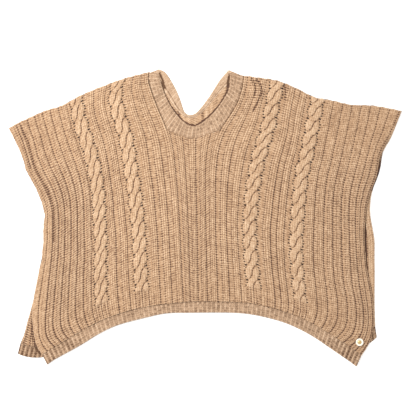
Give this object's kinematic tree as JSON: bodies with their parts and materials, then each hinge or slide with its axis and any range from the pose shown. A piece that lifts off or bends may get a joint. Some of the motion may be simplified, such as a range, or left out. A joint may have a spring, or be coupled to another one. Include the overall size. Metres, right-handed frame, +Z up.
{
  "type": "knitted poncho sweater",
  "caption": "Wide knitted poncho sweater laid flat: rib and cable front over a plain back, open sides, scooped neck, rib bands and one button.",
  "frame": {"origin": "centre of the laid-out garment in plan, on the surface it lies on", "axes": "+X to the picture's right across the chest, +Y from hem to shoulders, +Z up out of the front panel"},
  "size_m": [1.021, 0.772, 0.0137],
  "materials": {
    "knit_body": "heathered tan wool-blend rib and cable knit",
    "knit_band": "heathered tan wool-blend one-by-one rib",
    "button_cream": "cream gloss",
    "button_gold": "satin gold"
  },
  "bodies": {
    "root": {"panel_front": "knit_body", "panel_back": "knit_body", "neckband_front": "knit_band", "neckband_back": "knit_band", "hem_band_front": "knit_band", "hem_band_back": "knit_band", "button": "button_cream", "button_boss": "button_gold"}
  },
  "joints": []
}
